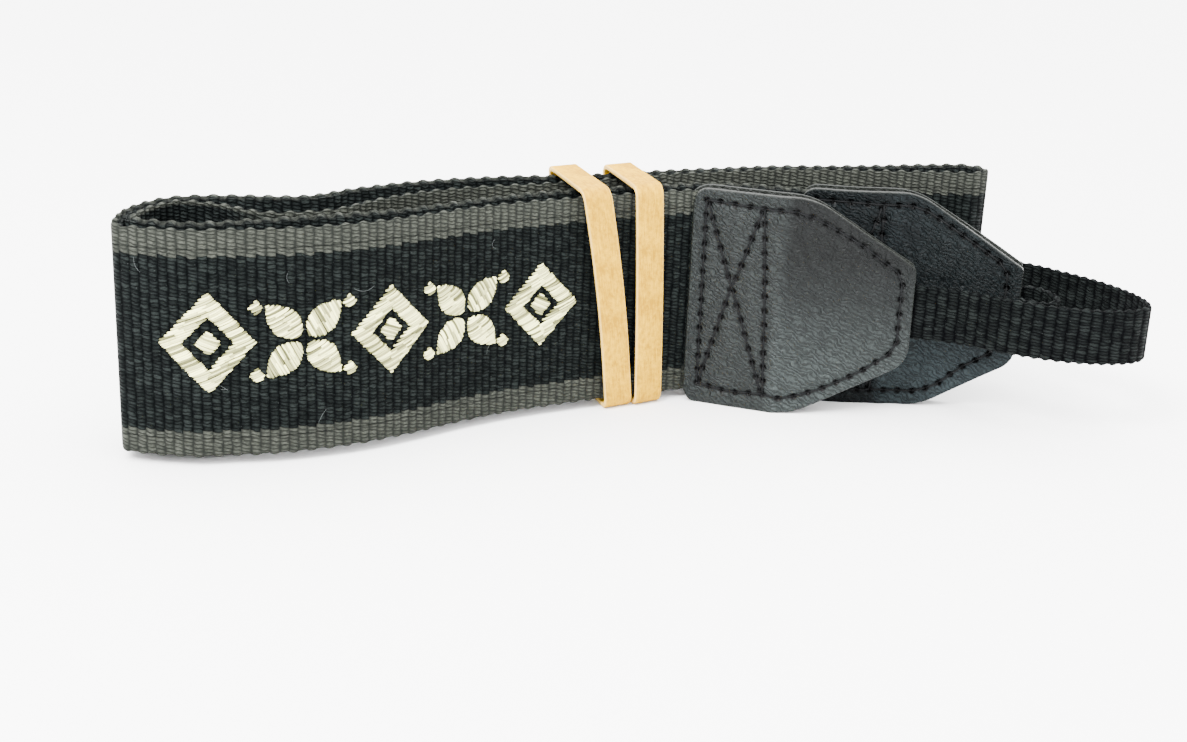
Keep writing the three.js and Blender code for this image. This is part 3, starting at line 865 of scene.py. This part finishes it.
def tab_edge(shoulder_share, tip_share, tip_radius):
    """One long edge of a tab: (along, distance from its middle)."""
    half = TAB_HEIGHT / 2
    corner = (0, half)
    shoulder = (shoulder_share * TAB_LENGTH, half)
    tip = (TAB_LENGTH, tip_share * TAB_HEIGHT)
    return np.vstack([
        rounded_corner((0, 0), corner, shoulder, TAB_CORNER, 12),
        rounded_corner(corner, shoulder, tip, TAB_SHOULDER, 12),
        rounded_corner(shoulder, tip, (TAB_LENGTH, 0), tip_radius, 8),
    ])


def half_space(u):
    """Half the space between a tab's two plies, which tapers past the webbing's end."""
    share = np.clip((u - WEB_IN_TAB) / TAB_TAPER, 0, 1)
    return (WEB_THICKNESS + (LUG_THICKNESS - WEB_THICKNESS) * share) / 2 + CLEARANCE


def seam_points(corners):
    """Needle holes evenly along a seam."""
    pts = np.array(corners, dtype=float)
    gaps = np.concatenate([[0], np.cumsum(np.hypot(*np.diff(pts, axis=0).T))])
    count = max(1, int(round(gaps[-1] / STITCH)))
    at = np.linspace(0, gaps[-1], count + 1)
    return np.stack([np.interp(at, gaps, pts[:, 0]), np.interp(at, gaps, pts[:, 1])], -1)


def distance_to_segments(u, v, points):
    """How far each place is from a line of segments."""
    best = np.full(u.shape, np.inf)
    for (ax, ay), (bx, by) in zip(points[:-1], points[1:]):
        dx, dy = bx - ax, by - ay
        t = np.clip(((u - ax) * dx + (v - ay) * dy) / (dx * dx + dy * dy), 0, 1)
        best = np.minimum(best, np.hypot(u - ax - t * dx, v - ay - t * dy))
    return best


def dent(distance, depth, spread):
    """A smooth hollow: how deep it is at a distance from its middle."""
    return -depth * np.exp(-(distance / spread) ** 2)


def tab_relief(u, v, holes):
    """How far the leather stands proud, and how far its seams and holes are."""
    seam = np.min([distance_to_segments(u, v, points) for points in holes], axis=0)
    hole = np.min([np.hypot(u - x, v - y) for points in holes for x, y in points], axis=0)
    relief = dent(seam, *SEAM_GROOVE) + dent(seam, *SEAM_HOLLOW) + dent(hole, *HOLE_DENT)
    ridge = -dent(u - (WEB_IN_TAB + RIDGE_AT), *RIDGE) * np.clip(seam / 1.5, 0, 1)
    sag = dent(u - (WEB_IN_TAB + SAG_AT), *SAG) * np.clip(seam / 5.0, 0, 1)
    return relief + ridge + sag * np.clip((v - 4.0) / 20.0, 0, 1), seam, hole


def tab_grid(outline, step):
    """Places along and up a tab, and how far each is inside its outline."""
    high = tab_edge(*outline["high"])
    low = tab_edge(*outline["low"])
    rings = np.array(EDGE_RINGS)
    corner = TAB_CORNER * (1 - np.cos(np.linspace(0.12, math.pi / 2, 10)))
    even = np.arange(0.7, TAB_LENGTH - 0.6, step)
    u = np.unique(np.round(np.concatenate([rings, corner, even, TAB_LENGTH - rings]), 3))
    u = u[np.concatenate([[True], np.diff(u) > 0.03])]
    u[-1] = TAB_LENGTH
    up = np.interp(u, high[:, 0], high[:, 1])[:, None]
    down = np.interp(u, low[:, 0], low[:, 1])[:, None]
    share = np.linspace(0, 1, int(TAB_HEIGHT / step))
    inset = 2 * EDGE_RADIUS
    inner = inset - down + share * (up + down - 2 * inset)
    z = np.hstack([rings - down, inner, up - rings[::-1]])
    uu = np.repeat(u[:, None], z.shape[1], axis=1)
    depth = np.minimum(np.minimum(up - z, z + down), np.minimum(uu, TAB_LENGTH - uu))
    return uu, z, depth


def sheet_faces(index):
    """Outside, inside and rim of a sheet whose inside vertices follow the outside's."""
    count = index.size
    a, b, c, d = index[:-1, :-1], index[1:, :-1], index[1:, 1:], index[:-1, 1:]
    outside = np.stack([a, b, c, d], -1).reshape(-1, 4)
    inside = np.stack([a, d, c, b], -1).reshape(-1, 4) + count
    border = np.concatenate([index[:, 0], index[-1, 1:], index[-2::-1, -1], index[0, -2:0:-1]])
    after = np.roll(border, -1)
    wall = np.stack([border, border + count, after + count, after], -1)
    return np.vstack([outside, inside, wall])


def tab_ply(name, start, direction, outer, outline, holes, step, material):
    """One ply of a tab: `outer` is the side of the line that it lies on."""
    u, z, depth = tab_grid(outline, step)
    place, side = line.at(start + direction * u.ravel())
    place = place.reshape(u.shape + (2,))
    side = side.reshape(u.shape + (2,)) * outer
    in_round = np.clip(EDGE_RADIUS - depth, 0, EDGE_RADIUS)
    drop = EDGE_RADIUS - np.sqrt(EDGE_RADIUS ** 2 - in_round ** 2)
    relief, seam, hole = tab_relief(u, z + SEAM_DROP, holes)
    near = half_space(u)
    far = near + TAB_PLY - drop + relief
    vertices = np.concatenate([
        world_points(place + side * distance[..., None], z + TAB_MIDDLE).reshape(-1, 3)
        for distance in (far, near)])
    faces = sheet_faces(np.arange(u.size).reshape(u.shape))
    if direction * outer < 0:
        faces = faces[:, ::-1]
    raw = np.clip(1 - depth / RAW_EDGE, 0, 1).ravel()
    none_near = np.full(u.size, FAR)
    attributes = {
        "raw_edge": np.concatenate([raw, np.ones(u.size)]),
        "tab_u": np.tile(u.ravel(), 2),
        "tab_v": np.tile(z.ravel(), 2),
        "from_seam": np.concatenate([seam.ravel(), none_near]),
        "from_hole": np.concatenate([hole.ravel(), none_near]),
    }
    return mesh_piece(name, vertices, faces.tolist(), material, attributes)


def seam_threads(name, start, direction, outer, holes):
    """Stitches that dip into the needle holes of a tab's face."""
    t = np.linspace(0, 1, len(STITCH_LEVELS))
    threads = Threads()
    for points in holes:
        for (ax, ay), (bx, by) in zip(points[:-1], points[1:]):
            u = ax + (bx - ax) * t
            v = ay + (by - ay) * t
            far = half_space(u) + TAB_PLY + STITCH_LEVELS
            threads.add(start + direction * u, far * outer, v - SEAM_DROP + TAB_MIDDLE)
    return threads.piece(name, STITCH_RADIUS, 6, stitch_look)


for key, start, direction, face, seams in (
    ("front", line.front_tab_start, -1, 1, FRONT_SEAMS),
    ("rear", line.rear_tab_start, 1, -1, REAR_SEAMS),
):
    holes = [seam_points(corners) for corners in seams]
    for part, outer, step in (("face", face, FACE_STEP), ("back", -face, BACK_STEP)):
        ply = tab_ply(f"{key}_leather_{part}", start, direction, outer,
                      TAB_OUTLINES[key], holes, step, leather_look[key])
        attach(ply, "root")
        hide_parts(f"{key}_tab_{part}")
        stitches = seam_threads(f"{key}_{part}_stitches", start, direction, outer, holes)
        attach(stitches, "root")


# -------- embroidery

EMB_START, EMB_END = (line.front_tab_start + reach for reach in EMB_REACH)


def diamond(centre, wide, tall):
    """The corners of a diamond, from its half sizes."""
    x, y = centre
    return np.array([(x + wide, y), (x, y + tall), (x - wide, y), (x, y - tall)])


def petal(centre, angle, near, far, half_width):
    """A pointed leaf from `near` to `far` along a direction from the centre."""
    t = np.linspace(0, 1, 13)
    along = near + (far - near) * t
    width = half_width * np.sin(math.pi * t ** 0.85) ** 0.8
    edge = np.concatenate([np.stack([along, width], -1), np.stack([along, -width], -1)[::-1]])
    c, s = math.cos(angle), math.sin(angle)
    return edge @ np.array([[c, s], [-s, c]]) + np.array(centre)


def hatch(polygons, angle):
    """Straight threads that fill polygons (holes among them), as pairs of ends."""
    c, s = math.cos(angle), math.sin(angle)
    turn = np.array([[c, -s], [s, c]])
    turned = [p @ turn for p in polygons]
    low = min(p[:, 1].min() for p in turned)
    high = max(p[:, 1].max() for p in turned)
    pairs = []
    for level in np.arange(low + THREAD_PITCH * 0.4, high, THREAD_PITCH):
        hits = []
        for p in turned:
            for (ax, ay), (bx, by) in zip(p, np.roll(p, -1, axis=0)):
                if (ay <= level) != (by <= level):
                    hits.append(ax + (bx - ax) * (level - ay) / (by - ay))
        hits.sort()
        for x0, x1 in zip(hits[::2], hits[1::2]):
            if x1 - x0 > SHORTEST_THREAD:
                pairs.append((np.array([x0, level]) @ turn.T, np.array([x1, level]) @ turn.T))
    return pairs


def motif_threads():
    """Threads of the whole row of motifs, from its left end and its middle."""
    width = EMB_END - EMB_START
    pairs = []
    for share, wide, tall in LARGE_DIAMONDS:
        centre = (share * width, 0.0)
        inside = diamond(centre, wide - RING_WIDE, tall - RING_TALL)
        pairs += hatch([diamond(centre, wide, tall), inside], THREAD_SLANT)
        pairs += hatch([diamond(centre, *CORE_HALVES)], -THREAD_SLANT)
    for share in FLOWERS:
        for quarter in range(4):
            angle = math.radians(45 + 90 * quarter)
            leaf = petal((share * width, 0.0), angle, *PETAL)
            pairs += hatch([leaf], angle + PETAL_SLANT)
    for share in SMALL_DIAMONDS:
        for level in SMALL_LEVELS:
            pairs += hatch([diamond((share * width, level), *SMALL_HALVES)], THREAD_SLANT)
    return pairs


def embroidery_piece():
    """Raised threads, the long ones sewn as a few stitches end to end."""
    t = np.linspace(0, 1, 8)
    sides = 6
    threads = Threads()
    tones = []
    for start, end in motif_threads():
        start = start + RNG.normal(0, 0.06, 2)
        end = end + RNG.normal(0, 0.06, 2)
        size = np.linalg.norm(end - start)
        top = 0.12 + 0.075 * min(size, 4.5)
        count = max(1, int(round(size / STITCH_SPAN)))
        cuts = np.linspace(0, 1, count + 1)
        cuts[1:-1] += RNG.uniform(-0.35, 0.35, count - 1) / count
        for first, last in zip(cuts, cuts[1:]):
            share = first + (last - first) * t
            along, up = start[:, None] + (end - start)[:, None] * share
            crown = top * (1 - (2 * share - 1) ** 4) ** 0.6
            lift = crown - 0.1 - 0.1 * (2 * t - 1) ** 8 + RNG.normal(0, 0.025)
            threads.add(EMB_END - along, WEB_THICKNESS / 2 + lift, up + EMB_MIDDLE + WEB_BOTTOM)
            tones.append(RNG.uniform(0, 1))
    return threads.piece("embroidered_motifs", THREAD_RADIUS, sides, thread_material(),
                         {"tone": np.repeat(tones, len(t) * sides)})


embroidery = embroidery_piece()
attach(embroidery, "root")


# -------- lint on the webbing

def lint_piece():
    """Fine pale hairs that lie on the front run."""
    t = np.linspace(0, 1, 9)
    hairs = Threads()
    for _ in range(LINT_COUNT):
        along = RNG.uniform(*LINT_ALONG)
        height = RNG.uniform(*LINT_HEIGHT)
        size = RNG.uniform(*LINT_LENGTH)
        heading = RNG.uniform(-0.9, 0.9)
        turn = heading + RNG.normal(0, 1.6) * t
        along = along + np.cumsum(np.cos(turn)) * size / len(t)
        height = height + np.cumsum(np.sin(turn)) * size / len(t)
        lift = 0.06 + 0.18 * np.sin(math.pi * t)
        hairs.add(line.front_tab_start + along, WEB_THICKNESS / 2 + lift, height + WEB_BOTTOM)
    look = plain_material("lint", LINT_COLOUR, 0.8)
    return hairs.piece("lint_hairs", LINT_RADIUS, 4, look)


lint = lint_piece()
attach(lint, "root")


# -------- rubber bands

def rounded_box(low, high, radius, steps):
    """Points around a box with round corners, and the way out at each."""
    points = []
    ways = []
    for x, z, start in (
        (high[0] - radius, low[1] + radius, -0.5), (high[0] - radius, high[1] - radius, 0.0),
        (low[0] + radius, high[1] - radius, 0.5), (low[0] + radius, low[1] + radius, 1.0),
    ):
        angle = (start + np.linspace(0, 0.5, steps)) * math.pi
        way = np.stack([np.cos(angle), np.sin(angle)], -1)
        points.append(np.array([x, z]) + radius * way)
        ways.append(way)
    return np.vstack(points), np.vstack(ways)


def filled_in(points, ways, gap):
    """The same closed loop with more points where they are more than `gap` apart."""
    more_points = []
    more_ways = []
    for i in range(len(points)):
        k = (i + 1) % len(points)
        steps = max(1, int(np.linalg.norm(points[k] - points[i]) / gap))
        share = (np.arange(steps) / steps)[:, None]
        mixed = ways[i] * (1 - share) + ways[k] * share
        more_points.append(points[i] * (1 - share) + points[k] * share)
        more_ways.append(mixed / np.linalg.norm(mixed, axis=1, keepdims=True))
    return np.vstack(more_points), np.vstack(more_ways)


def band_piece(name, along, lean, skew, bow, material):
    """A flat band around the bundle, over the outer runs wherever it touches them."""
    start = along * BUNDLE_LENGTH
    top = WEB_BOTTOM + WEB_WIDTH + CLEARANCE + BAND_THICKNESS
    xs = [start + share * BAND_WIDTH + shift
          for share in (-0.5, 0, 0.5) for shift in (0, lean * top)]
    room = WEB_THICKNESS / 2 + CLEARANCE + BAND_SLACK
    behind = skew * BUNDLE_DEPTH * 0.7
    front = min(across_at(line.first_run, x) for x in xs) - room
    back = max(across_at(line.fourth_run, x + behind) for x in xs) + room
    half_t = BAND_THICKNESS / 2
    half_w = BAND_WIDTH / 2
    path, ways = rounded_box((front - half_t, half_t), (back + half_t, top - half_t),
                             BAND_CORNER + BAND_ROUNDER - half_t, 9)
    path, ways = filled_in(path, ways, 1.0)
    section, _ = rounded_box((-half_w, -half_t), (half_w, half_t), BAND_EDGE, 5)
    y, z = (path[:, None, i] + ways[:, None, i] * section[:, 1] for i in range(2))
    bend = bow * np.sin(np.clip(z / top, 0, 1) * math.pi)
    x = start + skew * y + lean * z + bend + section[:, 0]
    index = np.arange(x.size).reshape(x.shape)
    after = np.roll(index, -1, axis=0)
    faces = np.stack([index, np.roll(index, -1, axis=1), np.roll(after, -1, axis=1), after], -1)
    run = np.concatenate([[0], np.cumsum(np.linalg.norm(np.diff(path, axis=0), axis=1))])
    attributes = {
        "band_run": np.repeat(run + 100 * along, len(section)),
        "band_across": np.tile(section[:, 0], len(path)),
    }
    vertices = world_points(np.stack([x, y], -1), z)
    return mesh_piece(name, vertices, faces.reshape(-1, 4).tolist(), material, attributes)


rubber_look = rubber_material()
for node, along, lean, skew, bow in BANDS:
    name = node.replace("rubber_band", "tan_band")
    band = band_piece(name, along, lean, skew, bow, rubber_look)
    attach(band, "root")
    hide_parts(node)


# -------- floor, light and camera

def floor_piece():
    """A pale level floor, far larger than the picture."""
    mesh = bpy.data.meshes.new("floor")
    corners = [(x * FLOOR_HALF, y * FLOOR_HALF, 0)
               for x, y in ((-1, -1), (1, -1), (1, 1), (-1, 1))]
    mesh.from_pydata(corners, [], [(0, 1, 2, 3)])
    mesh.materials.append(plain_material("floor", FLOOR_COLOUR, 0.85))
    floor = bpy.data.objects.new("floor", mesh)
    bpy.context.collection.objects.link(floor)
    return floor


def studio_world():
    """A pale dome that is brightest overhead."""
    world = bpy.data.worlds.new("studio")
    bpy.context.scene.world = world
    world.use_nodes = True
    nodes = world.node_tree.nodes
    links = world.node_tree.links
    place = nodes.new("ShaderNodeTexCoord")
    parts = nodes.new("ShaderNodeSeparateXYZ")
    ramp = nodes.new("ShaderNodeMapRange")
    ramp.inputs["To Min"].default_value = DOME_SIDE
    ramp.inputs["To Max"].default_value = DOME_TOP
    links.new(place.outputs["Generated"], parts.inputs[0])
    links.new(parts.outputs["Z"], ramp.inputs["Value"])
    links.new(ramp.outputs[0], nodes["Background"].inputs["Strength"])
    nodes["Background"].inputs["Color"].default_value = WHITE


def key_light():
    """A soft round light above the left front."""
    data = bpy.data.lights.new("key", "AREA")
    data.shape = "DISK"
    data.size = KEY_SIZE
    data.energy = KEY_POWER
    light = bpy.data.objects.new("key", data)
    light.location = KEY_PLACE
    direction = Vector(KEY_AIM) - Vector(KEY_PLACE)
    light.rotation_euler = direction.to_track_quat("-Z", "Y").to_euler()
    bpy.context.collection.objects.link(light)


def fitted_camera():
    """The viewpoint that the photo's woven edges give."""
    right = Vector((math.cos(CAMERA_HEADING), -math.sin(CAMERA_HEADING), 0))
    up = Vector((math.sin(CAMERA_DOWN) * math.sin(CAMERA_HEADING),
                 math.sin(CAMERA_DOWN) * math.cos(CAMERA_HEADING), math.cos(CAMERA_DOWN)))
    axis_x = right * math.cos(CAMERA_ROLL) + up * math.sin(CAMERA_ROLL)
    axis_y = up * math.cos(CAMERA_ROLL) - right * math.sin(CAMERA_ROLL)
    data = bpy.data.cameras.new("camera")
    data.lens = CAMERA_LENS
    data.sensor_width = 36.0
    data.clip_start = 0.01
    camera = bpy.data.objects.new("camera", data)
    turn = Matrix((axis_x, axis_y, right.cross(up))).transposed().to_4x4()
    camera.matrix_world = Matrix.Translation(Vector(CAMERA_PLACE) * MM) @ turn
    bpy.context.collection.objects.link(camera)
    return camera


floor_piece()
studio_world()
key_light()
bpy.context.scene.camera = fitted_camera()
